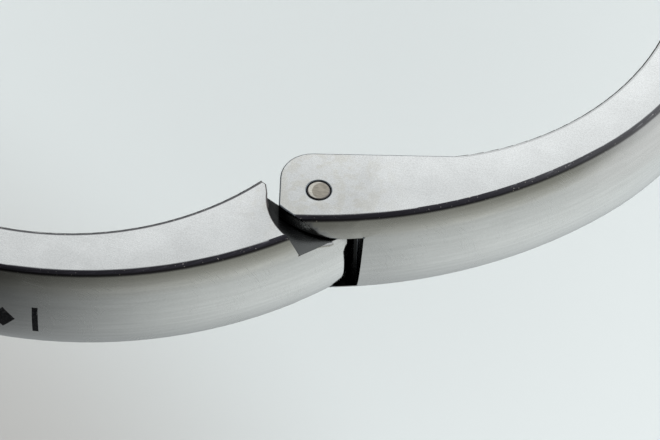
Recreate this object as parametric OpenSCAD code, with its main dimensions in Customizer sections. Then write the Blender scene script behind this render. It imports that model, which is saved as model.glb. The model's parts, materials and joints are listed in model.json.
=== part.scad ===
// A pair of hinged ratchet handcuffs joined by a three-link chain, lying flat with both bows open.
// Cuff B is cuff A turned half a turn about Z, so each cuff module is drawn once and placed twice.
// Inside the cuff modules the hinge pin is at the origin and +Y runs through the ring to the lock.

/* [Rings] */
// Inside radius of the frame half's ring
frame_ring_r = 29.75; // [28:0.25:31]
// Inside radius of the bow
bow_ring_r = 30.05; // [28.5:0.25:31.5]
// Distance from the hinge pin to the frame half's ring centre
frame_ring_y = 35.38; // [34:0.1:37]
// Distance from the hinge pin to the bow's ring centre
bow_ring_y = 35; // [34:0.1:37]
// How far the bow stands open from its locked position, in degrees
open_angle = 61.5; // [50:0.5:64]

/* [Bars] */
// Width of both bars across their flat sides
bar_w = 11.5; // [10:0.5:13]
// Thickness of the frame half's flat side, away from the hinge
frame_t = 4.65; // [4:0.1:5.5]
// Thickness of the bow's flat side at its thinnest
bow_t = 4.85; // [4:0.1:5.5]
// Height of the rounded outside above the flats' edges
dome_h = 2.5; // [1.5:0.1:3.2]
// Rounding between the flats and the rounded outside
edge_r = 0.7; // [0.3:0.1:1]
// Rounding of the inside edges
inner_edge_r = 0.2; // [0.15:0.05:0.5]

/* [Hinge] */
// Diameter of the hinge pin
hinge_pin_d = 2.4; // [2:0.1:3]
// Width of the slot between the fork's ears
slot_w = 7.8; // [6:0.2:8]
// Width of the bow's tongue in the slot
tongue_w = 7.5; // [5.6:0.2:7.6]
// Radius of the tongue's round end
tongue_r = 3.85; // [3.5:0.05:3.9]
// Angle between the fork's ears and the ring's axis
knuckle_turn = 13; // [10:1:16]

/* [Ratchet] */
// Radius of the ratchet strip's inside, about the hinge pin
strip_r = 66.5; // [66.4:0.1:66.8]
// Radius of the teeth's tips, about the hinge pin
tooth_tip_r = 71; // [70.8:0.1:71]
// Depth of the teeth
tooth_h = 1; // [0.8:0.1:1.1]
// Angle that one tooth takes about the hinge pin
tooth_step = 2; // [2:1:3]
// Width of the ratchet strip
strip_w = 8.4; // [7.6:0.2:8.4]

/* [Lock] */
// Thickness of the lock case
case_h = 14; // [13.6:0.2:15]
// Thickness of the lock cover
cover_t = 2.4; // [2.4:0.1:2.8]
// Angle that the pawl stands lifted, clear of the teeth
pawl_lift = 5; // [4.8:0.1:5.2]
// Diameter of the cover rivets
rivet_d = 2.5; // [2:0.1:2.8]

/* [Chain] */
// Diameter of the link wire
link_wire = 3.2; // [2.8:0.1:3.3]
// Distance between the centres of a link's two end bends' wire
link_pitch = 12.6; // [12:0.2:14]
// Diameter of the swivel eye's wire
eye_wire = 3.6; // [3:0.1:3.8]
// Diameter of the swivel's shank
shank_d = 5; // [4:0.2:5.2]

/* [Hidden] */
$fn = 96;

steel = [0.76, 0.77, 0.78];
dark_steel = [0.42, 0.42, 0.43];
warm_steel = [0.62, 0.59, 0.55];

bar_half = bar_w / 2;
case_half = case_h / 2;
cover_z = case_half - cover_t;
fit_gap = 0.05;
far = 120;

// The rounded outside is one arc across the bar
dome_r = (bar_half * bar_half + dome_h * dome_h) / (2 * dome_h);

// The bars thicken towards the hinge, and the bow also towards its nose: there the outside follows a
// larger circle, which touches the ring's own circle where the bar is thinnest
frame_out_r = frame_ring_r + frame_t;
frame_root_shift = 16.95;
frame_thin_dir = -39;
bow_out_r = bow_ring_r + bow_t;
bow_root_shift = 9.66;
bow_nose_shift = 1.7;
bow_thin_dir = 214;

// The ears' inside edge, along the fork: its height at the ears' end and where it meets the ring
ear_top = [4.85, 5.26];
ledge_x = 13.58;

// The lock's layout, in the cuff's frame
nose_angle = 105;
strip_tip_angle = 75;
channel_in_r = strip_r - 0.3;
channel_out_r = tooth_tip_r + 0.4;
channel_end_angle = 73.2;
pocket_z = -4.6;
pocket_top_y = 87.6;
case_top_y = 93;
pawl_pin_at = [-13.2, 77.8];
pawl_pin_d = 3;
key_post_at = [13, 76.4];
key_post_d = 2.4;
rivets_at = [[-14.8, 88.3], [18.8, 89], [18, 61.2], [20.6, 76]];

// The swivel and the chain, along +Y from the lock case
eye_r = 4.7;
eye_y = case_top_y + 7.4;
link_bend = 3.9;
wire_gap = 0.05;
link_1_y = eye_y + eye_r - eye_wire / 2 - link_wire / 2 - wire_gap;
link_step = link_pitch - link_wire - wire_gap - 0.03;
middle_y = link_1_y + link_step + link_pitch / 2;

// ---- Helpers ----

function arc(at, r, from, to, steps) =
    [for (i = [0:steps]) at + r * [cos(from + (to - from) * i / steps), sin(from + (to - from) * i / steps)]];

function polar(r, angle) = [r * cos(angle), r * sin(angle)];

// A bar cut square: flat sides, a domed outside and eased edges. The edges' circles stand in from
// the corners by a hair, so that they join the section between them.
module bar_section(r_in, r_out) {
    hair = 0.005;
    dome_x = r_out + dome_h - dome_r;
    round_z = bar_half - edge_r;
    round_x = dome_x + sqrt(pow(dome_r - edge_r, 2) - round_z * round_z);
    meet = atan2(round_z, round_x - dome_x);
    meet_x = dome_x + dome_r * cos(meet);
    meet_z = dome_r * sin(meet);
    ease_x = r_in + inner_edge_r;
    ease_z = bar_half - inner_edge_r;
    polygon([
        [r_in, -ease_z], [ease_x, -bar_half], [round_x, -bar_half], [meet_x, -meet_z],
        [meet_x, meet_z], [round_x, bar_half], [ease_x, bar_half], [r_in, ease_z]
    ]);
    intersection() {
        translate([dome_x, 0]) circle(dome_r);
        translate([round_x - 1, -meet_z]) square([dome_r, 2 * meet_z]);
    }
    for (side = [-1, 1]) {
        translate([round_x - 2 * hair, side * (round_z - hair)]) circle(edge_r);
        translate([ease_x + hair, side * (ease_z - hair)]) circle(inner_edge_r);
    }
}

// A bar in two arcs that meet where it is thinnest, in the direction thin_dir from the ring's centre.
// Each arc is [how far its centre lies behind the ring's, angle it turns through, radial depth].
module bar(ring_at, thin_dir, thin_r, arcs)
    translate(ring_at) rotate([0, 0, thin_dir])
        for (a = arcs)
            translate([-a[0], 0]) rotate_extrude(angle = a[1], $fn = 180)
                bar_section(thin_r + a[0] - a[2], thin_r + a[0]);

// Cutter for a ring's inside, which leaves both edges eased
module ring_cutter(at, r)
    translate(at) rotate_extrude($fn = 180) {
        translate([0, -bar_w]) square([r, 2 * bar_w]);
        for (side = [0, 1]) mirror([0, side]) difference() {
            translate([0, bar_half - inner_edge_r]) square([r + inner_edge_r, bar_w]);
            translate([r + inner_edge_r, bar_half - inner_edge_r]) circle(inner_edge_r);
        }
    }

// A sector of a flat ring about the hinge pin
module sector(r_in, r_out, from, to, low, high)
    translate([0, 0, low]) linear_extrude(high - low)
        polygon(concat(arc([0, 0], r_in, from, to, 16), arc([0, 0], r_out, to, from, 16)));

module post(at, d, low, high)
    translate([at[0], at[1], low]) cylinder(d = d, h = high - low);

module plate(points, low, high)
    translate([0, 0, low]) linear_extrude(high - low) polygon(points);

// A round wire along Y between two points
module wire_y(x, z, from, to, d)
    translate([x, from, z]) rotate([-90, 0, 0]) cylinder(d = d, h = to - from);

// ---- Frame half ----

// Outline of the fork's end: a straight left end with one round and one long curved corner
function ear_outline() =
    let (left = -3.98, corner = 3.3, sweep_at = [2.6, 4.4], sweep_r = 9.25)
    concat(
        arc([left + corner, ear_top[0] - corner], corner, 180, 90, 8),
        [[ledge_x, ear_top[1]], [ledge_x, 100], [90, 100], [90, -60], [sweep_at[0], -60]],
        arc(sweep_at, sweep_r, 270, 224.7, 10)
    );

module frame_bar()
    difference() {
        intersection() {
            bar(
                [0, frame_ring_y], frame_thin_dir, frame_out_r,
                [[frame_root_shift, -62, 13], [0, 58 - frame_thin_dir, frame_t + 1]]
            );
            rotate([0, 0, knuckle_turn]) plate(ear_outline(), -case_h, case_h);
        }
        // The ring's inside starts past the straight ledge that runs along the ears
        difference() {
            ring_cutter([0, frame_ring_y], frame_ring_r);
            rotate([0, 0, knuckle_turn]) plate(
                [[-20, -20], [ledge_x, -20], [ledge_x, ear_top[1]], [-20, ear_top[0]]], -case_h, case_h
            );
        }
    }

// Slot for the tongue between the ears, with a floor that leans back a little towards the top
module fork_slot() {
    floor_low = 4.3;
    floor_top = 4.75;
    half = slot_w / 2;
    rotate([0, 0, knuckle_turn]) translate([0, 20, 0]) rotate([90, 0, 0]) linear_extrude(40)
        polygon([[-20, -half], [floor_low, -half], [floor_top, half], [-20, half]]);
}

function case_outline(grow) =
    concat(
        [polar(60.5, nose_angle - 0.5), polar(74, nose_angle - 0.5)],
        arc([-13.6, 87], 6 + grow, 180, 90, 8),
        arc([17.5, 87.5], 5.5 + grow, 90, 0, 8),
        arc([20.5, 62], 2.5 + grow, 0, -90, 5),
        [[16.5, 58]]
    );

module case_block()
    difference() {
        plate(case_outline(0), -case_half, cover_z);
        translate([0, frame_ring_y, -far]) cylinder(r = frame_ring_r, h = 2 * far, $fn = 180);
    }

// Hollow for the pawl, the key and the double-lock bar
module lock_pocket() {
    plate([
        [-17, 74.2], [-8, 73.2], [-6.4, 70], [8.6, 70], [9.6, 72.6], [19, 72.6], [19, pocket_top_y],
        [-5, pocket_top_y], [-10.5, 83.2], [-17, 81.4]
    ], pocket_z, far);
}

module cuff_frame()
    color(steel) difference() {
        union() {
            frame_bar();
            case_block();
        }
        fork_slot();
        post([0, 0], hinge_pin_d + 2 * fit_gap, -far, far);
        sector(channel_in_r, channel_out_r, channel_end_angle, nose_angle + 3, pocket_z, far);
        lock_pocket();
        plate(case_outline(fit_gap), cover_z, far);
        for (at = rivets_at) post(at, rivet_d + 2 * fit_gap, -case_half + 2, far);
        post(pawl_pin_at, pawl_pin_d + 2 * fit_gap, -far, far);
        post(key_post_at, key_post_d + 2 * fit_gap, -far, far);
        wire_y(0, 0, pocket_top_y - 1, far, shank_d + 2 * fit_gap);
        // Way for the double-lock bar's button
        translate([7.4, pocket_top_y - 1, -1.3]) cube([7.2, 20, 2.6]);
    }

// ---- Bow ----

// The bow is drawn locked, with its ring about the frame half's, and placed open
module bow_bar()
    difference() {
        bar(
            [0, bow_ring_y], bow_thin_dir, bow_out_r,
            [[bow_root_shift, 72, 14], [bow_nose_shift, 96 - bow_thin_dir, 12]]
        );
        ring_cutter([0, bow_ring_y], bow_ring_r);
        // The nose ends along a line from the hinge pin
        plate([[0, 0], polar(far, nose_angle), polar(far, 60), [far, 0]], -far, far);
    }

// Everything above and below the tongue gives way to the ears along a curved shoulder
module shoulder_cutter() {
    shoulder_at = [0.39, -1.95];
    shoulder_r = 6.92;
    keep = [
        for (i = [0:20]) shoulder_at + polar(shoulder_r, 128 + 72 * i / 20)
    ];
    outline = concat(keep, [[-4.6, -20], [30, -20], [30, 11], [2, 11], [-1.6, 6.2]]);
    plate(outline, -far, -tongue_w / 2);
    plate(outline, tongue_w / 2, far);
}

// The tongue's inside edge, which runs round the pin and on to the ring
module tongue_trim()
    difference() {
        plate([[-3.2, 5.4], [0, 10], [30, 10], [30, -1.2], [0, -1.2], [-3, 2.4]], -far, far);
        post([0, 0], 2 * tongue_r, -far, far);
    }

// The tail past the pin is cut square and its lower corner is rounded off
module tail_cutter() {
    tail_x = 3.06;
    corner = 2.4;
    rotate([0, 0, -open_angle + knuckle_turn]) {
        translate([tail_x, -40, -far]) cube([40, 80, 2 * far]);
        translate([0, -tongue_r, 0]) rotate([90, 0, 0]) linear_extrude(20) polygon(concat(
            [[tail_x + 1, -1.2], [tail_x + 1, -20], [0.6, -20]],
            arc([tail_x - corner, -1.2], corner, 285, 360, 6)
        ));
    }
}

module ratchet_strip() {
    root_r = tooth_tip_r - tooth_h;
    teeth = (nose_angle - strip_tip_angle) / tooth_step;
    outline = concat(
        arc([0, 0], strip_r, nose_angle + 3, strip_tip_angle + 1, 16),
        [polar(strip_r + 1, strip_tip_angle)],
        [
            for (i = [0:teeth - 1])
                for (edge = [0, 1])
                    polar(edge == 0 ? root_r : tooth_tip_r, strip_tip_angle + tooth_step * (i + 0.96 * edge))
        ],
        [polar(root_r, nose_angle), polar(root_r, nose_angle + 3)]
    );
    plate(outline, -strip_w / 2, strip_w / 2);
}

module cuff_bow()
    color(steel) rotate([0, 0, open_angle]) difference() {
        union() {
            difference() {
                bow_bar();
                shoulder_cutter();
                tail_cutter();
            }
            // Round end of the tongue, which carries the pin
            post([0, 0], 2 * tongue_r, -tongue_w / 2, tongue_w / 2);
            ratchet_strip();
        }
        tongue_trim();
        post([0, 0], hinge_pin_d + 2 * fit_gap, -far, far);
    }

// ---- Small parts of a cuff ----

module cuff_hinge_pin()
    color(warm_steel) post([0, 0], hinge_pin_d, -bar_half, bar_half);

module cuff_lock_cover()
    color(steel) difference() {
        plate(case_outline(0), cover_z, case_half);
        translate([0, frame_ring_y, -far]) cylinder(r = frame_ring_r, h = 2 * far, $fn = 180);
        for (at = rivets_at) post(at, rivet_d + 2 * fit_gap, -far, far);
        post(pawl_pin_at, pawl_pin_d + 2 * fit_gap, -far, far);
        // Keyhole: a round for the key's barrel and a slot for its bit
        post(key_post_at, 5.4, -far, far);
        translate([key_post_at[0] - 1.1, key_post_at[1] - 5.2, -far]) cube([2.2, 5.2, 2 * far]);
    }

module cuff_cover_rivets()
    color(warm_steel) for (at = rivets_at) post(at, rivet_d, -case_half + 2, case_half);

// The pawl is drawn engaged and turned up by its lift about its own pin
module lift_pawl(angle)
    translate(pawl_pin_at) rotate([0, 0, angle]) translate(-pawl_pin_at) children();

module cuff_pawl() {
    root_r = tooth_tip_r - tooth_h;
    first = strip_tip_angle + 5 * tooth_step;
    teeth = 4;
    play = 0.1;
    engaged = concat(
        [[-12.6, 75.1], [-8, 74.9]],
        [[-6, 73.2], polar(tooth_tip_r + play, first + teeth * tooth_step + 0.4)],
        [
            for (i = [teeth - 1:-1:0])
                for (edge = [1, 0])
                    polar(
                        (edge == 0 ? root_r : tooth_tip_r) + play,
                        first + 0.05 + tooth_step * (i + 0.96 * edge)
                    )
        ],
        [[5.6, 73.2], [8.4, 79.6], [9.4, 80.9], [16.4, 81.1], [16.4, 82.7], [8.6, 82.9], [5.4, 78.2]],
        [[3.4, 76.6], [-8, 79.4], [-12.6, 80.7]]
    );
    color(dark_steel) lift_pawl(pawl_lift) difference() {
        union() {
            plate(engaged, -3.4, 3.4);
            post(pawl_pin_at, 6, -4.4, cover_z - 0.2);
        }
        post(pawl_pin_at, pawl_pin_d + 2 * fit_gap, -far, far);
    }
}

module cuff_pawl_pin()
    color(warm_steel) post(pawl_pin_at, pawl_pin_d, -case_half, case_half);

// A bowed leaf that stands on the pawl's back and reaches up to the case's end wall
module cuff_pawl_spring() {
    leaf_at = [-4.2, 86.95];
    leaf_r = 8.2;
    leaf_t = 0.5;
    leaf_half = 2.6;
    outline = concat(arc(leaf_at, leaf_r, 214, 335, 20), arc(leaf_at, leaf_r - leaf_t, 335, 214, 20));
    color(dark_steel) lift_pawl(pawl_lift) plate(outline, -leaf_half, leaf_half);
}

module cuff_double_lock()
    color(dark_steel) {
        plate([[9.4, 85.5], [18.4, 85.5], [18.4, 87.3], [13.4, 87.3], [13.4, 92.5], [11.4, 92.5],
            [11.4, 87.3], [9.4, 87.3]], -1.2, 1.2);
        for (low = [-3, 1.2]) plate([[9.4, 85.5], [18.4, 85.5], [18.4, 87.3], [9.4, 87.3]], low, low + 1.8);
    }

// A strip on the pocket's floor with a hump that clicks under the double-lock bar
module cuff_detent_spring() {
    hump_r = 1.1;
    strip_depth = 1.8;
    color(dark_steel) translate([6.4, 85.4, pocket_z]) {
        cube([11.6, strip_depth, 0.5]);
        intersection() {
            translate([6, 0, 0]) rotate([-90, 0, 0]) cylinder(r = hump_r, h = strip_depth);
            cube([11.6, strip_depth, hump_r]);
        }
    }
}

module cuff_key_post()
    color(warm_steel) post(key_post_at, key_post_d, -case_half, case_half - 0.8);

// Shank, shoulder and eye in one piece, turning in the lock case's end wall
module cuff_swivel()
    color(steel) {
        wire_y(0, 0, 85.2, case_top_y + 1, shank_d);
        wire_y(0, 0, case_top_y + 0.12, case_top_y + 2.4, 8.4);
        wire_y(0, 0, case_top_y + 2, case_top_y + 3.6, 5.4);
        translate([0, eye_y, 0]) rotate([0, 90, 0]) rotate_extrude()
            translate([eye_r, 0]) circle(d = eye_wire, $fn = 48);
    }

// Collar riveted on the shank inside the case
module cuff_swivel_collar()
    color(dark_steel) difference() {
        wire_y(0, 0, 85.4, pocket_top_y - 0.12, 8);
        wire_y(0, 0, 80, 100, shank_d + 0.02);
    }

// ---- Chain ----

// A link lies in the XY plane with its near end wire at the origin
module chain_link()
    color(steel) {
        side_y = link_pitch - 2 * link_bend;
        translate([0, link_bend, 0]) {
            for (side = [-1, 1]) wire_y(side * link_bend, 0, 0, side_y, link_wire);
            for (end = [0, 1]) translate([0, end * side_y, 0]) rotate([0, 0, end * 180 - 180])
                rotate_extrude(angle = 180) translate([link_bend, 0]) circle(d = link_wire, $fn = 48);
        }
    }

// ---- Places ----

module place_a() translate([0, -middle_y, case_half]) children();
module place_b() rotate([0, 0, 180]) place_a() children();

place_a() cuff_frame();  // cuff_a_frame
place_a() cuff_bow();  // cuff_a_bow
place_a() cuff_hinge_pin();  // cuff_a_hinge_pin
place_a() cuff_lock_cover();  // cuff_a_lock_cover
place_a() cuff_cover_rivets();  // cuff_a_cover_rivets
place_a() cuff_pawl();  // cuff_a_pawl
place_a() cuff_pawl_pin();  // cuff_a_pawl_pin
place_a() cuff_pawl_spring();  // cuff_a_pawl_spring
place_a() cuff_double_lock();  // cuff_a_double_lock
place_a() cuff_detent_spring();  // cuff_a_detent_spring
place_a() cuff_key_post();  // cuff_a_key_post
place_a() cuff_swivel();  // cuff_a_swivel
place_a() cuff_swivel_collar();  // cuff_a_swivel_collar
place_b() cuff_frame();  // cuff_b_frame
place_b() cuff_bow();  // cuff_b_bow
place_b() cuff_hinge_pin();  // cuff_b_hinge_pin
place_b() cuff_lock_cover();  // cuff_b_lock_cover
place_b() cuff_cover_rivets();  // cuff_b_cover_rivets
place_b() cuff_pawl();  // cuff_b_pawl
place_b() cuff_pawl_pin();  // cuff_b_pawl_pin
place_b() cuff_pawl_spring();  // cuff_b_pawl_spring
place_b() cuff_double_lock();  // cuff_b_double_lock
place_b() cuff_detent_spring();  // cuff_b_detent_spring
place_b() cuff_key_post();  // cuff_b_key_post
place_b() cuff_swivel();  // cuff_b_swivel
place_b() cuff_swivel_collar();  // cuff_b_swivel_collar
translate([0, link_1_y - middle_y, case_half]) chain_link();  // link_1
translate([0, link_1_y + link_step - middle_y, case_half]) rotate([0, 90, 0]) chain_link();  // link_2
translate([0, link_1_y + 2 * link_step - middle_y, case_half]) chain_link();  // link_3
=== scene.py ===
import json
import math
import bpy
from mathutils import Matrix, Vector
from mathutils.bvhtree import BVHTree


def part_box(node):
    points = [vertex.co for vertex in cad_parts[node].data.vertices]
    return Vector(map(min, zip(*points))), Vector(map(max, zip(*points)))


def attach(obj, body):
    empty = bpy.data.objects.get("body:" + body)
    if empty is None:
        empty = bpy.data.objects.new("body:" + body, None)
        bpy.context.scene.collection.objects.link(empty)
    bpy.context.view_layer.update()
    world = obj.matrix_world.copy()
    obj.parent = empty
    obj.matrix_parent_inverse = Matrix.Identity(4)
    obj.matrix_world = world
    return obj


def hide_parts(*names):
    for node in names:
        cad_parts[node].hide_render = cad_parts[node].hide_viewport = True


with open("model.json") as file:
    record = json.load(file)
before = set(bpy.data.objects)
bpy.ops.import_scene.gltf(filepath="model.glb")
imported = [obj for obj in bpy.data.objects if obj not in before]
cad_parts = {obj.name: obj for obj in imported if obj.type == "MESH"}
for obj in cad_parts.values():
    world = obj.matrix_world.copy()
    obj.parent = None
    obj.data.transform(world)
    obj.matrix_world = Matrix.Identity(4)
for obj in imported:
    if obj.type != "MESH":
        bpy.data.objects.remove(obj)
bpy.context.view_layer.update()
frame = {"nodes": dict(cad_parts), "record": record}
nodes = frame["nodes"]
scene = bpy.context.scene
print("frame loaded,", len(nodes), "nodes")


# camera: a close view of cuff A's hinge, from outside the ring and above it
cameraSetup = {
    "azimuth": 13.0,        # degrees, turned from +Y towards -X
    "elevation": 51.3,      # degrees above the floor
    "roll": 2.4,            # degrees
    "distance": 0.375,      # from the hinge pin's top
    "lens": 201.8,          # mm on a 36 mm sensor
    "aimRight": 0.00114,    # the view's middle, right of the pin and below it
    "aimDown": 0.00303,
}


def pinTop(cuff):
    low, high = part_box("cuff_" + cuff + "_hinge_pin")
    return Vector(((low[0] + high[0]) / 2, (low[1] + high[1]) / 2, high[2]))


def makeCamera(setup):
    azimuth = math.radians(setup["azimuth"])
    elevation = math.radians(setup["elevation"])
    roll = math.radians(setup["roll"])
    look = Vector((-math.sin(azimuth) * math.cos(elevation),
                   math.cos(azimuth) * math.cos(elevation), -math.sin(elevation)))
    level = Vector((math.cos(azimuth), math.sin(azimuth), 0))
    upright = level.cross(look)
    right = level * math.cos(roll) + upright * math.sin(roll)
    up = upright * math.cos(roll) - level * math.sin(roll)
    spot = pinTop("a") - look * setup["distance"] + right * setup["aimRight"] - up * setup["aimDown"]
    data = bpy.data.cameras.new("camera")
    data.sensor_width = 36
    data.lens = setup["lens"]
    data.clip_start, data.clip_end = 0.01, 20
    camera = bpy.data.objects.new("camera", data)
    scene.collection.objects.link(camera)
    camera.matrix_world = Matrix((
        (right.x, up.x, -look.x, spot.x),
        (right.y, up.y, -look.y, spot.y),
        (right.z, up.z, -look.z, spot.z),
        (0, 0, 0, 1)))
    scene.camera = camera


makeCamera(cameraSetup)
print("camera placed")


# small helpers for node trees: a value may be a number, a colour or another node's output
def feed(tree, socket, value):
    if isinstance(value, bpy.types.NodeSocket):
        tree.links.new(value, socket)
    elif isinstance(value, tuple) and len(value) == 3 and socket.type == "RGBA":
        socket.default_value = (*value, 1)
    else:
        socket.default_value = value


def calc(tree, operation, a, b=0.0):
    node = tree.nodes.new("ShaderNodeMath")
    node.operation = operation
    feed(tree, node.inputs[0], a)
    feed(tree, node.inputs[1], b)
    return node.outputs[0]


def step(tree, value, low, high, start=0.0, end=1.0):
    node = tree.nodes.new("ShaderNodeMapRange")
    node.interpolation_type = "SMOOTHSTEP"
    for socket, setting in zip(node.inputs, (value, low, high, start, end)):
        feed(tree, socket, setting)
    return node.outputs[0]


def blend(tree, factor, a, b, way="MIX"):
    node = tree.nodes.new("ShaderNodeMix")
    node.data_type = "RGBA"
    node.blend_type = way
    feed(tree, node.inputs[0], factor)
    feed(tree, node.inputs[6], a)
    feed(tree, node.inputs[7], b)
    return node.outputs[2]


def grey(tree, value):
    node = tree.nodes.new("ShaderNodeCombineColor")
    for socket in node.inputs:
        feed(tree, socket, value)
    return node.outputs[0]


def toned(tree, colour, tone):
    return blend(tree, 1.0, colour, grey(tree, tone), "MULTIPLY")


def stretched(tree, vector, turn, scale):
    node = tree.nodes.new("ShaderNodeMapping")
    feed(tree, node.inputs["Vector"], vector)
    node.inputs["Rotation"].default_value = (0, 0, math.radians(turn))
    node.inputs["Scale"].default_value = scale
    return node.outputs[0]


noiseSpread = (0.3, 0.7)    # most of a noise's values lie between these


def varied(tree, value, low, high):
    return step(tree, value, *noiseSpread, low, high)


def noise(tree, vector, scale, detail=3.0, distortion=0.0):
    node = tree.nodes.new("ShaderNodeTexNoise")
    feed(tree, node.inputs["Vector"], vector)
    node.inputs["Scale"].default_value = scale
    node.inputs["Detail"].default_value = detail
    node.inputs["Distortion"].default_value = distortion
    return node.outputs[0]


def distance(tree, vector, spot):
    node = tree.nodes.new("ShaderNodeVectorMath")
    node.operation = "DISTANCE"
    feed(tree, node.inputs[0], vector)
    node.inputs[1].default_value = spot
    return node.outputs["Value"]


def parts(tree, vector):
    node = tree.nodes.new("ShaderNodeSeparateXYZ")
    feed(tree, node.inputs[0], vector)
    return node.outputs


def vectorOf(tree, x, y, z=0.0):
    node = tree.nodes.new("ShaderNodeCombineXYZ")
    for socket, value in zip(node.inputs, (x, y, z)):
        feed(tree, socket, value)
    return node.outputs[0]


def newTree(name):
    material = bpy.data.materials.new(name)
    material.use_nodes = True
    material.node_tree.nodes.clear()
    return material, material.node_tree


# where a point of the piece lies, in mm
def place(tree):
    node = tree.nodes.new("ShaderNodeTexCoord")
    scale = tree.nodes.new("ShaderNodeVectorMath")
    scale.operation = "SCALE"
    scale.inputs["Scale"].default_value = 1000
    tree.links.new(node.outputs["Object"], scale.inputs[0])
    return scale.outputs[0]


# how far a point of the piece faces up or down, from 0 to 1
def facingUp(tree):
    node = tree.nodes.new("ShaderNodeTexCoord")
    return calc(tree, "ABSOLUTE", parts(tree, node.outputs["Normal"])[2])


# studio: a floor, soft light that only the floor sees, and a surround that the steel mirrors
studio = {
    "floorDrop": 0.06,                   # the floor lies this far under the cuffs
    "floorSize": 8.0,
    "floorColour": (0.80, 0.845, 0.845),
    "fillStrength": 2.3,
    "fillSoftness": 130.0,               # degrees across
    "fillFrom": (0.4, 0.1, 1.0),
    "shadeCentre": (-0.112, -0.202),     # a soft warm shadow painted on the floor, left of cuff A
    "shadeReach": (0.112, 0.160),
    "shadeCore": (-0.046, -0.112),       # the painted shadow is deepest here and fades away from here
    "coreReach": (0.015, 0.115),
    "shadeColour": (0.545, 0.54, 0.525),
    "floorLightFalloff": (0.91, 1.01),           # painted light: the floor is painted a little paler on the right
    "toneReach": (-75.0, 45.0),          # mm, left to right
    "halvesMeet": (-0.42, 0.64),         # the surround's halves blend here, from -1 far left to 1 far right
    "sidesMeet": (0.78, 0.97),           # and turn into the sides here
    "leftSide": (0.42, 0.43, 0.43),
    "rightSide": (0.7, 0.72, 0.72),
}
# what the steel mirrors, by the angle in the upright plane through the view:
# -90 is straight down, 0 ahead at floor level, 90 overhead, 180 behind the camera
surroundLeft = {
    -180: (0.06, 0.063, 0.063), -120: (0.10, 0.104, 0.107), -60: (0.16, 0.168, 0.172),
    -10: (0.06, 0.05, 0.045), 15: (0.07, 0.055, 0.05), 30: (0.60, 0.61, 0.60),
    48: (0.62, 0.63, 0.62), 57: (0.48, 0.49, 0.5), 66: (0.34, 0.35, 0.36),
    118: (0.12, 0.125, 0.13), 134: (0.026, 0.026, 0.023), 150: (0.03, 0.03, 0.027),
    168: (0.048, 0.049, 0.045), 180: (0.06, 0.063, 0.063),
}
surroundRight = {
    -180: (0.56, 0.59, 0.585), -120: (0.72, 0.76, 0.76), -60: (0.72, 0.77, 0.78),
    -10: (0.16, 0.18, 0.2), 15: (0.12, 0.14, 0.16), 28: (1.35, 1.39, 1.39),
    46: (1.42, 1.46, 1.47), 57: (1.15, 1.19, 1.2), 66: (0.70, 0.72, 0.74),
    118: (0.34, 0.35, 0.36), 134: (0.22, 0.225, 0.19), 150: (0.31, 0.315, 0.28),
    163: (0.42, 0.43, 0.40), 168: (0.62, 0.64, 0.61), 173: (0.48, 0.50, 0.49),
    180: (0.56, 0.59, 0.585),
}


def makeFloor():
    material, tree = newTree("studio_floor")
    shader = tree.nodes.new("ShaderNodeBsdfPrincipled")
    out = tree.nodes.new("ShaderNodeOutputMaterial")
    at = place(tree)
    # painted shadow: inside a broad soft patch the floor's colour turns towards shadeColour
    clear = []
    for spot, reach in (("shadeCentre", "shadeReach"), ("shadeCore", "coreReach")):
        x, y = studio[spot]
        near, far = studio[reach]
        away = distance(tree, at, (1000 * x, 1000 * y, -1000 * studio["floorDrop"]))
        clear.append(step(tree, away, 1000 * near, 1000 * far))
    # painted light: the floor's colour grows paler towards the right
    tone = step(tree, parts(tree, at)[0], *studio["toneReach"], *studio["floorLightFalloff"])
    colour = blend(tree, calc(tree, "MAXIMUM", *clear), studio["shadeColour"], studio["floorColour"])
    feed(tree, shader.inputs["Base Color"], toned(tree, colour, tone))
    shader.inputs["Roughness"].default_value = 1.0
    shader.inputs["Specular IOR Level"].default_value = 0.0
    tree.links.new(shader.outputs[0], out.inputs[0])
    half = studio["floorSize"] / 2
    z = -studio["floorDrop"]
    mesh = bpy.data.meshes.new("floor")
    corners = [(-half, -half, z), (half, -half, z), (half, half, z), (-half, half, z)]
    mesh.from_pydata(corners, [], [(0, 1, 2, 3)])
    mesh.materials.append(material)
    floor = bpy.data.objects.new("floor", mesh)
    floor.visible_glossy = False
    scene.collection.objects.link(floor)


def makeFill():
    data = bpy.data.lights.new("fill", "SUN")
    data.energy = studio["fillStrength"]
    data.angle = math.radians(studio["fillSoftness"])
    fill = bpy.data.objects.new("fill", data)
    fill.rotation_euler = Vector(studio["fillFrom"]).to_track_quat("Z", "Y").to_euler()
    fill.visible_glossy = False
    scene.collection.objects.link(fill)


def surroundRamp(tree, turn, stops):
    ramp = tree.nodes.new("ShaderNodeValToRGB")
    elements = ramp.color_ramp.elements
    elements.remove(elements[1])
    for i, (degrees, colour) in enumerate(stops.items()):
        spot = (degrees + 180) / 360
        element = elements[0] if i == 0 else elements.new(spot)
        element.position = spot
        element.color = (*colour, 1)
    tree.links.new(turn, ramp.inputs[0])
    return ramp.outputs[0]


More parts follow.
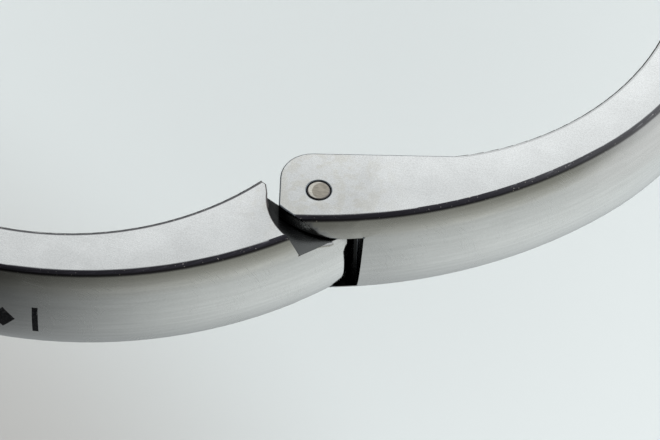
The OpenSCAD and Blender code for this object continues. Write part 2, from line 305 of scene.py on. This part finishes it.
def makeSurround():
    world = bpy.data.worlds.new("studio")
    scene.world = world
    world.use_nodes = True
    tree = world.node_tree
    tree.nodes.clear()
    ray = tree.nodes.new("ShaderNodeTexCoord").outputs["Generated"]
    x, y, z = parts(tree, stretched(tree, ray, -cameraSetup["azimuth"], (1, 1, 1)))
    turn = calc(tree, "ADD", calc(tree, "DIVIDE", calc(tree, "ARCTAN2", z, y), 2 * math.pi), 0.5)
    left = surroundRamp(tree, turn, surroundLeft)
    right = surroundRamp(tree, turn, surroundRight)
    colour = blend(tree, step(tree, x, *studio["halvesMeet"]), left, right)
    sideFrom, sideTo = studio["sidesMeet"]
    colour = blend(tree, step(tree, x, sideFrom, sideTo), colour, studio["rightSide"])
    colour = blend(tree, step(tree, x, -sideFrom, -sideTo), colour, studio["leftSide"])
    back = tree.nodes.new("ShaderNodeBackground")
    out = tree.nodes.new("ShaderNodeOutputWorld")
    tree.links.new(colour, back.inputs["Color"])
    tree.links.new(back.outputs[0], out.inputs[0])


makeFloor()
makeFill()
makeSurround()
scene.view_settings.view_transform = "Standard"
print("studio made")


# bars: where their rings lie about the hinge pins, in mm
bars = {
    "frameRing": 35.38,       # from the hinge pin to the middle of each half's ring
    "bowRing": 35.0,
    "frameInside": 29.75,     # radius
    "bowInside": 30.05,
    "bowOutside": 37.4,
    "ringMiddle": 36.0,
    "openAngle": 61.5,        # degrees that the bow turns to close
    "halfWidth": 5.75,
    "edgeReflectionBand": (0.004, 0.02, 0.3, 0.48),   # the painted dark edge reflections start and end this far below the flats
    "tongueBelow": 1.0,       # flats further down than this belong to the tongue and the fork's slot, and are painted in shade
    "frameLine": 0.3,         # how dark the painted reflection line along the ring's inner edge is
    "bowLine": 0.9,
    "lineWidth": (0.42, 0.3),
    "ledgeReach": (14.5, 16.5),             # on the frame it starts this far from the pin
    "edgeReflectionFade": (14.0, 40.0, 1.0, 0.8),     # and the painted dark edge reflection gets paler from near the pin to far away
}


def barMiddle(cuff):
    low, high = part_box("cuff_" + cuff + "_hinge_pin")
    return (low[2] + high[2]) / 2 * 1000


def ringCentre(cuff, part):
    side = 1 if cuff == "a" else -1
    turn = math.radians(bars["openAngle"]) if part == "bow" else 0
    toRing = Vector((-math.sin(turn), math.cos(turn))) * bars[part + "Ring"] * side
    return pinTop(cuff).xy * 1000 + toRing


# border on each bow's outside: lozenges and pellets between two bars, inlaid in black
borderSizes = {
    "from": 226.0,            # degrees about the bow's ring, for cuff A
    "to": 281.0,
    "count": 7,
    "depth": 0.2,             # mm, as all sizes here
    "lift": 0.02,
    "halfHeight": 1.75,
    "rise": 0.55,             # the border's middle lies this far above the bar's middle
    "lozengeWidth": 2.5,
    "lozengeShare": 0.8,      # of the half height
    "pelletShare": 0.5,
    "pelletRadius": 0.42,
    "barWidth": 0.6,
    "outerLevels": (0.02, 0.35, 0.7, 1.0),   # the rings of points that follow the dome
    "innerLevels": (1.0, 0.02),
    "edgeSteps": 4,
    "clearOfBow": 60.0,       # the rays onto the dome start this far from the ring's middle
}


def lozenge(centre, width, half):
    return [(centre - width / 2, 0), (centre, -half), (centre + width / 2, 0), (centre, half)]


def pellet(centre, height, radius):
    return [(centre + radius * math.cos(math.radians(a)), height + radius * math.sin(math.radians(a)))
            for a in range(0, 360, 36)]


def endBar(centre, width, half):
    low, high = centre - width / 2, centre + width / 2
    return [(low, -half), (high, -half), (high, half), (low, half)]


def borderOutlines(length):
    sizes = borderSizes
    half, barWidth = sizes["halfHeight"], sizes["barWidth"]
    pitch = (length - 4 * barWidth) / sizes["count"]
    outlines = [endBar(centre, barWidth, half) for centre in (0.5 * barWidth, length - 0.5 * barWidth)]
    for i in range(sizes["count"]):
        centre = 2 * barWidth + pitch * (i + 0.5)
        outlines.append(lozenge(centre, sizes["lozengeWidth"], sizes["lozengeShare"] * half))
        if i:
            for side in (-1, 1):
                height = side * sizes["pelletShare"] * half
                outlines.append(pellet(centre - pitch / 2, height, sizes["pelletRadius"]))
    return outlines


def rings(outline, levels):
    fine = []
    count = borderSizes["edgeSteps"]
    for (s0, h0), (s1, h1) in zip(outline, outline[1:] + outline[:1]):
        fine += [(s0 + (s1 - s0) * k / count, h0 + (h1 - h0) * k / count) for k in range(count)]
    middle = [sum(p[i] for p in fine) / len(fine) for i in (0, 1)]
    return [[(middle[0] + (s - middle[0]) * level, middle[1] + (h - middle[1]) * level) for s, h in fine]
            for level in levels]


# the inlay stands out by a hair, so that it covers the facets of the bow's dome
def inlayBorder(bow, cuff, filling):
    sizes = borderSizes
    centre = ringCentre(cuff, "bow") / 1000
    tree = BVHTree.FromObject(bow, bpy.context.evaluated_depsgraph_get())
    start = math.radians(sizes["from"] + (0 if cuff == "a" else 180))
    middle = barMiddle(cuff) + sizes["rise"]
    outside = bars["bowOutside"]
    length = math.radians(sizes["to"] - sizes["from"]) * outside
    verts, faces = [], []
    for outline in borderOutlines(length):
        loops = [(ring, sizes["lift"]) for ring in rings(outline, sizes["outerLevels"])]
        loops += [(ring, -sizes["depth"]) for ring in rings(outline, sizes["innerLevels"])]
        first, count = len(verts), len(loops[0][0])
        for ring, lift in loops:
            for along, height in ring:
                angle = start + along / outside
                ray = Vector((math.cos(angle), math.sin(angle), 0))
                source = Vector((*centre, (middle + height) / 1000)) + ray * (sizes["clearOfBow"] / 1000)
                verts.append(tree.ray_cast(source, -ray)[0] + ray * lift / 1000)
        for loop in range(len(loops) - 1):
            for i in range(count):
                j = (i + 1) % count
                a, b = first + loop * count, first + (loop + 1) * count
                faces.append((a + i, b + i, b + j, a + j))
        faces.append([first + i for i in range(count)])
        faces.append([first + (len(loops) - 1) * count + i for i in reversed(range(count))])
    mesh = bpy.data.meshes.new("border")
    mesh.from_pydata(verts, [], faces)
    mesh.materials.append(filling)
    border = bpy.data.objects.new("cuff_" + cuff + "_bow_border", mesh)
    scene.collection.objects.link(border)
    return border


# finished copies of the CAD parts: edges eased as by hand, and normals smooth over the rounds
easing = {
    "mergeGap": 0.00002,
    "planarAngle": 0.3,       # degrees
    "edgeAngle": 28,          # sharper edges than this are eased
    "barAngle": 55,           # on the bars, sharper edges than this stay sharp
    "width": 0.00014,
    "cornerReach": 0.0146,    # from the hinge pin
    "wallTilt": 0.15,         # a square corner lies between a wall and a flat
    "flatTilt": 0.99,
    "farthest": 0.0002,       # no point strays further than this from the part
}
fineWidths = {"pawl_spring": 0.00005, "detent_spring": 0.00005, "pawl": 0.00008, "double_lock": 0.0001}


def applyModifiers(piece):
    graph = bpy.context.evaluated_depsgraph_get()
    mesh = bpy.data.meshes.new_from_object(piece.evaluated_get(graph))
    piece.modifiers.clear()
    piece.data = mesh


def bareCopy(name, material, edgeMaterial):
    source = nodes[name]
    piece = bpy.data.objects.new(name + "_finished", source.data.copy())
    scene.collection.objects.link(piece)
    mesh = piece.data
    mesh.materials.clear()
    mesh.materials.append(material)
    mesh.materials.append(edgeMaterial)
    mesh.polygons.foreach_set("material_index", [0] * len(mesh.polygons))
    mesh.polygons.foreach_set("use_smooth", [True] * len(mesh.polygons))
    with bpy.context.temp_override(object=piece, active_object=piece, selected_objects=[piece], mesh=mesh):
        bpy.ops.mesh.customdata_custom_splitnormals_clear()
    merge = piece.modifiers.new("merge", "WELD")
    merge.merge_threshold = easing["mergeGap"]
    planar = piece.modifiers.new("planar", "DECIMATE")
    planar.decimate_type = "DISSOLVE"
    planar.angle_limit = math.radians(easing["planarAngle"])
    applyModifiers(piece)
    return piece


# on the bars only the ears' and noses' square corners are eased: their long edges are round in the part
def pickCorners(piece, cuff):
    mesh = piece.data
    pin = pinTop(cuff).xy
    normals = {}
    for face in mesh.polygons:
        for key in face.edge_keys:
            normals.setdefault(key, []).append(abs(face.normal.z))
    weights = mesh.attributes.new("bevel_weight_edge", "FLOAT", "EDGE")
    for edge in mesh.edges:
        ends = [mesh.vertices[v].co for v in edge.vertices]
        tilt = sorted(normals[edge.key])
        near = all((end.xy - pin).length < easing["cornerReach"] for end in ends)
        level = abs(ends[0].z - ends[1].z) < easing["mergeGap"]
        if near and level and tilt[0] < easing["wallTilt"] and tilt[-1] > easing["flatTilt"]:
            weights.data[edge.index].value = 1


def easeEdges(piece, width, picked=False):
    source = piece.data
    ease = piece.modifiers.new("ease", "BEVEL")
    ease.width = width
    ease.segments = 2
    ease.material = 1
    if picked:
        ease.limit_method = "WEIGHT"
    else:
        ease.angle_limit = math.radians(easing["edgeAngle"])
    ease.use_clamp_overlap = False
    applyModifiers(piece)
    points = [v.co for v in source.vertices]
    tree = BVHTree.FromPolygons(points, [list(face.vertices) for face in source.polygons])
    for v in piece.data.vertices:
        near = tree.find_nearest(v.co)
        if near[3] > easing["farthest"]:
            v.co = near[0]


def smoothNormals(piece):
    normals = piece.modifiers.new("normals", "WEIGHTED_NORMAL")
    normals.weight = 100
    normals.keep_sharp = True
    applyModifiers(piece)


# marks that all the steels share
steelMarks = {
    "bumpDepth": 0.0001,
    "openness": (0.32, 0.84),     # the share of a point's surroundings that is open: where the painted crevice shade is full, and where there is none
    "scratchShape": (0.3, 14.0, 1),
    "scratchLines": (0.56, 0.72),
    "scratchPatches": (0.45, 0.62),
    "patchScale": 0.33,
}


def finish(tree, colour, roughness, height, strength):
    shader = tree.nodes.new("ShaderNodeBsdfPrincipled")
    out = tree.nodes.new("ShaderNodeOutputMaterial")
    bump = tree.nodes.new("ShaderNodeBump")
    bump.inputs["Strength"].default_value = strength
    bump.inputs["Distance"].default_value = steelMarks["bumpDepth"]
    feed(tree, bump.inputs["Height"], height)
    shader.inputs["Metallic"].default_value = 1
    feed(tree, shader.inputs["Base Color"], colour)
    feed(tree, shader.inputs["Roughness"], roughness)
    tree.links.new(bump.outputs[0], shader.inputs["Normal"])
    tree.links.new(shader.outputs[0], out.inputs[0])


# painted shade: darkens the colour where a point's surroundings close in, from an ambient occlusion pass
def paintCreviceShade(tree, colour, reach, darkest):
    shade = tree.nodes.new("ShaderNodeAmbientOcclusion")
    shade.samples = 8
    shade.inputs["Distance"].default_value = reach
    return toned(tree, colour, step(tree, shade.outputs["AO"], *steelMarks["openness"], darkest, 1.0))


def scratches(tree, at, turn, amount):
    lines = noise(tree, stretched(tree, at, turn, steelMarks["scratchShape"]), 1.0, 2.0, 0.15)
    patches = step(tree, noise(tree, at, steelMarks["patchScale"], 2.0), *steelMarks["scratchPatches"])
    lines = calc(tree, "MULTIPLY", step(tree, lines, *steelMarks["scratchLines"]), patches)
    return calc(tree, "MULTIPLY", lines, amount)


def swirls(tree, at, turns):
    total = 0.0
    for turn, amount in turns:
        total = calc(tree, "ADD", total, scratches(tree, at, turn, amount))
    return total


# steel of the bars: polished flats with swirls, a brushed round outside and dark edges painted in as dark
# reflections
barLook = {
    "flat": (0.83, 0.84, 0.84),
    "round": (0.80, 0.80, 0.785),
    # painted dark reflection along the bars' outer edges
    "edge": (0.055, 0.052, 0.062),
    "stain": (0.93, 0.91, 0.865),
    # painted shade on the tongue's top and in the fork's slot
    "tongue": (0.13, 0.135, 0.135),
    "fleck": (0.75, 0.7, 0.64),
    "creviceShade": 0.10,
    "creviceShadeReach": 0.0024,
    "flatFrom": (0.955, 0.992),       # faces that look up or down more than this are flats
    "swirls": ((38, 1.0), (112, 0.8), (-17, 0.9)),    # degrees, strength
    "roughness": (0.17, 0.25),
    "swirlRoughness": 0.12,
    "brushStretch": 0.06,
    "relief": 0.05,
    "grainRelief": 0.4,               # each one's share of the relief
    "swirlRelief": 0.5,
    "brushedRelief": 0.16,
}
# its noises: scale, detail and distortion
barNoises = {
    "brushed": (2.6, 5.0),
    "grain": (7.0, 4.0),
    "cloud": (0.28, 3.0, 0.4),
    "stains": (0.9, 4.0),
    "flecks": (4.5, 4.0),
}
# and how far each of them lightens or darkens it; lengths are in mm
barTones = {
    "cloud": (0.915, 1.03),
    "flatGrain": (0.25, 0.75, -0.07, 0.07),
    "swirl": 0.16,
    "across": (0.5, 5.5, 1.07, 0.95),     # painted sheen: lighter at the ring's inner edge, darker outwards
    "nearPin": (4.0, 9.0, 0.92, 1.0),
    "stainsNearPin": (4.0, 10.0, 0.85, 0.0),
    "stainPatches": (0.42, 0.62),
    "brushed": (0.955, 1.03),
    "roundGrain": (-0.03, 0.03),
    "reflectionUnderEdge": (0.3, 1.6, 0.8, 1.0),    # painted dark reflection on the round just below the flats
    "flecks": (0.66, 0.74),
}


# on a bar: how far below its flats a point lies and its radius in the ring, both in mm, masks from
# 0 to 1 for its flats, its painted dark edge reflection, its flats painted in shade and the painted
# reflection line along its inner edge, and the noise that runs along the ring
def barMasks(tree, at, cuff, part):
    height = calc(tree, "ABSOLUTE", calc(tree, "SUBTRACT", parts(tree, at)[2], barMiddle(cuff)))
    below = calc(tree, "SUBTRACT", bars["halfWidth"], height)
    flat = step(tree, facingUp(tree), *barLook["flatFrom"])
    bandFrom, bandFull, bandLast, bandTo = bars["edgeReflectionBand"]
    edgeReflection = step(tree, below, bandFrom, bandFull)
    edgeReflection = calc(tree, "MULTIPLY", edgeReflection, step(tree, below, bandTo, bandLast))
    flatsInShade = step(tree, below, 0.5 * bars["tongueBelow"], bars["tongueBelow"])
    fromRing = tree.nodes.new("ShaderNodeVectorMath")
    fromRing.operation = "SUBTRACT"
    tree.links.new(at, fromRing.inputs[0])
    fromRing.inputs[1].default_value = (*ringCentre(cuff, part), 0)
    x, y, z = parts(tree, fromRing.outputs[0])
    squares = calc(tree, "ADD", calc(tree, "MULTIPLY", x, x), calc(tree, "MULTIPLY", y, y))
    radius = calc(tree, "SQRT", squares)
    lineFrom, lineTo = bars["lineWidth"]
    inside = bars[part + "Inside"]
    line = step(tree, radius, inside + lineFrom, inside + lineTo)
    line = calc(tree, "MULTIPLY", line, bars[part + "Line"])
    around = calc(tree, "MULTIPLY", calc(tree, "ARCTAN2", y, x), bars["ringMiddle"])
    around = calc(tree, "MULTIPLY", around, barLook["brushStretch"])
    brushed = noise(tree, vectorOf(tree, around, z), *barNoises["brushed"])
    return below, flat, edgeReflection, calc(tree, "MULTIPLY", flat, flatsInShade), radius, line, brushed


def barSteel(name, cuff, part):
    material, tree = newTree(name)
    at = place(tree)
    below, flat, edgeReflection, flatsInShade, radius, innerEdgeReflection, brushed = barMasks(tree, at, cuff, part)
    inside = bars[part + "Inside"]
    fromPin = distance(tree, at, pinTop(cuff) * 1000)
    grain = noise(tree, at, *barNoises["grain"])
    cloud = noise(tree, at, *barNoises["cloud"])
    swirl = swirls(tree, at, barLook["swirls"])

    tone = varied(tree, cloud, *barTones["cloud"])
    tone = calc(tree, "ADD", tone, step(tree, grain, *barTones["flatGrain"]))
    tone = calc(tree, "ADD", tone, calc(tree, "MULTIPLY", swirl, barTones["swirl"]))
    near, far, inner, outer = barTones["across"]
    tone = calc(tree, "MULTIPLY", tone, step(tree, radius, inside + near, inside + far, inner, outer))
    onFlat = toned(tree, barLook["flat"], tone)
    onFlat = toned(tree, onFlat, step(tree, fromPin, *barTones["nearPin"]))
    patches = step(tree, noise(tree, at, *barNoises["stains"]), *barTones["stainPatches"])
    handled = calc(tree, "MULTIPLY", step(tree, fromPin, *barTones["stainsNearPin"]), patches)
    onFlat = blend(tree, handled, onFlat, blend(tree, 1.0, onFlat, barLook["stain"], "MULTIPLY"))

    soft = varied(tree, brushed, *barTones["brushed"])
    soft = calc(tree, "ADD", soft, varied(tree, grain, *barTones["roundGrain"]))
    soft = calc(tree, "MULTIPLY", soft, step(tree, below, *barTones["reflectionUnderEdge"]))
    onRound = toned(tree, barLook["round"], soft)
    flecks = step(tree, noise(tree, at, *barNoises["flecks"]), *barTones["flecks"])
    onEdgeReflection = blend(tree, flecks, barLook["edge"], barLook["fleck"])
    if part == "frame":
        innerEdgeReflection = calc(tree, "MULTIPLY", innerEdgeReflection, step(tree, fromPin, *bars["ledgeReach"]))
        edgeReflection = calc(tree, "MULTIPLY", edgeReflection, step(tree, fromPin, *bars["edgeReflectionFade"]))
    colour = blend(tree, flat, onRound, onFlat)
    # painted dark reflections: the outer edge band and the line along the inner edge
    dark = calc(tree, "MAXIMUM", edgeReflection, calc(tree, "MULTIPLY", innerEdgeReflection, flat))
    colour = blend(tree, dark, colour, onEdgeReflection)
    # painted shade on the flats of the tongue and the fork's slot
    colour = blend(tree, flatsInShade, colour, barLook["tongue"])
    colour = paintCreviceShade(tree, colour, barLook["creviceShadeReach"], barLook["creviceShade"])
    roughness = varied(tree, cloud, *barLook["roughness"])
    roughness = calc(tree, "ADD", roughness, calc(tree, "MULTIPLY", swirl, barLook["swirlRoughness"]))
    relief = calc(tree, "MULTIPLY", grain, barLook["grainRelief"])
    relief = calc(tree, "ADD", relief, calc(tree, "MULTIPLY", swirl, barLook["swirlRelief"]))
    relief = calc(tree, "ADD", relief, calc(tree, "MULTIPLY", brushed, barLook["brushedRelief"]))
    finish(tree, colour, roughness, relief, barLook["relief"])
    return material


# plainer steels: a colour, how far it varies, how rough it is, how its grain is stretched,
# and how dark the shade painted into its crevices gets
steels = {
    "cover_steel": {"colour": (0.76, 0.77, 0.77), "vary": 0.10, "roughness": 0.24,
                    "grain": (0.25, 7.0), "creviceShade": 0.10},
    "pin_steel": {"colour": (0.50, 0.47, 0.42), "vary": 0.16, "roughness": 0.30,
                  "grain": (3.0, 3.0), "creviceShade": 0.3},
    "lock_steel": {"colour": (0.33, 0.33, 0.335), "vary": 0.15, "roughness": 0.34,
                   "grain": (0.5, 5.0), "creviceShade": 0.15},
    "spring_steel": {"colour": (0.20, 0.22, 0.28), "vary": 0.20, "roughness": 0.28,
                     "grain": (0.5, 4.0), "creviceShade": 0.2},
    "chain_steel": {"colour": (0.78, 0.785, 0.79), "vary": 0.12, "roughness": 0.19,
                    "grain": (1.2, 3.0), "creviceShade": 0.08},
    # dark_edge and cool_edge colour eased edges dark; on the bars' corners this is a painted dark
    # reflection, bluish on the frame
    "dark_edge": {"colour": (0.22, 0.2, 0.195), "vary": 0.25, "roughness": 0.3,
                  "grain": (2.0, 2.0), "creviceShade": 0.3},
    "cool_edge": {"colour": (0.30, 0.33, 0.36), "vary": 0.25, "roughness": 0.3,
                  "grain": (2.0, 2.0), "creviceShade": 0.3},
    "worn_edge": {"colour": (0.66, 0.67, 0.67), "vary": 0.15, "roughness": 0.22,
                  "grain": (2.0, 2.0), "creviceShade": 0.2},
}
plainMarks = {
    "grainTurn": 4,           # degrees
    "cloudScale": 0.5,
    "swirls": ((31, 1.0), (118, 0.8)),
    "swirlTone": 0.1,
    "swirlRoughness": 0.1,
    "smoother": 0.04,         # the roughness varies down and up by these
    "rougher": 0.05,
    "creviceShadeReach": 0.0015,
    "relief": 0.1,
}


def plainSteel(name, look):
    marks = plainMarks
    material, tree = newTree(name)
    at = place(tree)
    lines = noise(tree, stretched(tree, at, marks["grainTurn"], (*look["grain"], 1)), 1.0, 4.0)
    cloud = noise(tree, at, marks["cloudScale"], 3.0)
    swirl = swirls(tree, at, marks["swirls"])
    tone = varied(tree, lines, 1 - look["vary"], 1.0)
    tone = calc(tree, "ADD", tone, varied(tree, cloud, -look["vary"] / 2, look["vary"] / 3))
    tone = calc(tree, "ADD", tone, calc(tree, "MULTIPLY", swirl, marks["swirlTone"]))
    colour = paintCreviceShade(tree, toned(tree, look["colour"], tone), marks["creviceShadeReach"], look["creviceShade"])
    low, high = look["roughness"] - marks["smoother"], look["roughness"] + marks["rougher"]
    roughness = varied(tree, cloud, low, high)
    roughness = calc(tree, "ADD", roughness, calc(tree, "MULTIPLY", swirl, marks["swirlRoughness"]))
    finish(tree, colour, roughness, calc(tree, "ADD", lines, swirl), marks["relief"])
    return material


# the hinge pins' ends were peened over: darker, warm, with a brighter crescent on one side
pinLook = {
    "face": (0.42, 0.385, 0.33),
    "crescent": (0.72, 0.69, 0.62),
    "crescentShift": 0.42,    # mm
    "crescentRadius": 1.03,
    "crescentBlur": 0.1,
    "grainTurn": 24,          # degrees
    "grainShape": (1.2, 5, 1),
    "grainScale": 1.6,
    "grainTone": (0.8, 1.15),
    "creviceShadeReach": 0.0004,
    "creviceShade": 0.25,
    "roughness": 0.3,
    "relief": 0.25,
}


def pinSteel(name, cuff):
    look = pinLook
    material, tree = newTree(name)
    at = place(tree)
    toLeft = -1 if cuff == "a" else 1
    top = pinTop(cuff) * 1000
    spot = (top.x - toLeft * look["crescentShift"], top.y, 0)
    away = distance(tree, stretched(tree, at, 0, (1, 1, 0)), spot)
    crescent = step(tree, away, look["crescentRadius"], look["crescentRadius"] + look["crescentBlur"])
    grain = noise(tree, stretched(tree, at, look["grainTurn"], look["grainShape"]), look["grainScale"], 4.0)
    colour = blend(tree, crescent, look["face"], look["crescent"])
    colour = toned(tree, colour, varied(tree, grain, *look["grainTone"]))
    colour = paintCreviceShade(tree, colour, look["creviceShadeReach"], look["creviceShade"])
    finish(tree, colour, look["roughness"], grain, look["relief"])
    return material


# the border's black filling, a little worn
blackLook = {
    "fresh": (0.003, 0.003, 0.004),
    "worn": (0.02, 0.02, 0.021),
    "wornFrom": (0.45, 0.75),
    "roughness": (0.45, 0.75),
    "specular": 0.15,
    "patchScale": 5.0,
}


def enamel():
    look = blackLook
    material, tree = newTree("engraved_black")
    shader = tree.nodes.new("ShaderNodeBsdfPrincipled")
    out = tree.nodes.new("ShaderNodeOutputMaterial")
    patches = noise(tree, place(tree), look["patchScale"], 4.0)
    colour = blend(tree, step(tree, patches, *look["wornFrom"]), look["fresh"], look["worn"])
    feed(tree, shader.inputs["Base Color"], colour)
    shader.inputs["Specular IOR Level"].default_value = look["specular"]
    feed(tree, shader.inputs["Roughness"], varied(tree, patches, *look["roughness"]))
    tree.links.new(shader.outputs[0], out.inputs[0])
    return material


materials = {name: plainSteel(name, look) for name, look in steels.items()}
blackFill = enamel()
bodyOf = {node: body for body, names in frame["record"]["behaviour"]["bodies"].items() for node in names}
slotOf = {part["node"]: part["material_slot"] for part in frame["record"]["subparts"]}


def finishPart(name):
    words = name.split("_")
    cuff, part = (words[1], "_".join(words[2:])) if words[0] == "cuff" else ("", words[0])
    material = materials.get(slotOf[name])
    edge = materials["worn_edge"]
    if part in ("frame", "bow"):
        material = barSteel(part + "_steel_" + cuff, cuff, part)
        # the bars' eased corners get painted dark reflections
        edge = materials["cool_edge" if part == "frame" else "dark_edge"]
    elif part == "hinge_pin":
        material = pinSteel("hinge_pin_steel_" + cuff, cuff)
        edge = materials["dark_edge"]
    elif part in ("cover_rivets", "pawl_pin", "key_post"):
        edge = materials["dark_edge"]
    piece = bareCopy(name, material, edge)
    if part in ("frame", "bow"):
        pickCorners(piece, cuff)
        easeEdges(piece, easing["width"], picked=True)
        piece.data.set_sharp_from_angle(angle=math.radians(easing["barAngle"]))
    else:
        easeEdges(piece, fineWidths.get(part, easing["width"]))
    if part == "bow":
        border = inlayBorder(piece, cuff, blackFill)
        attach(border, bodyOf[name])
    smoothNormals(piece)
    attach(piece, bodyOf[name])
    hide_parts(name)


for name in nodes:
    finishPart(name)
print("parts finished")
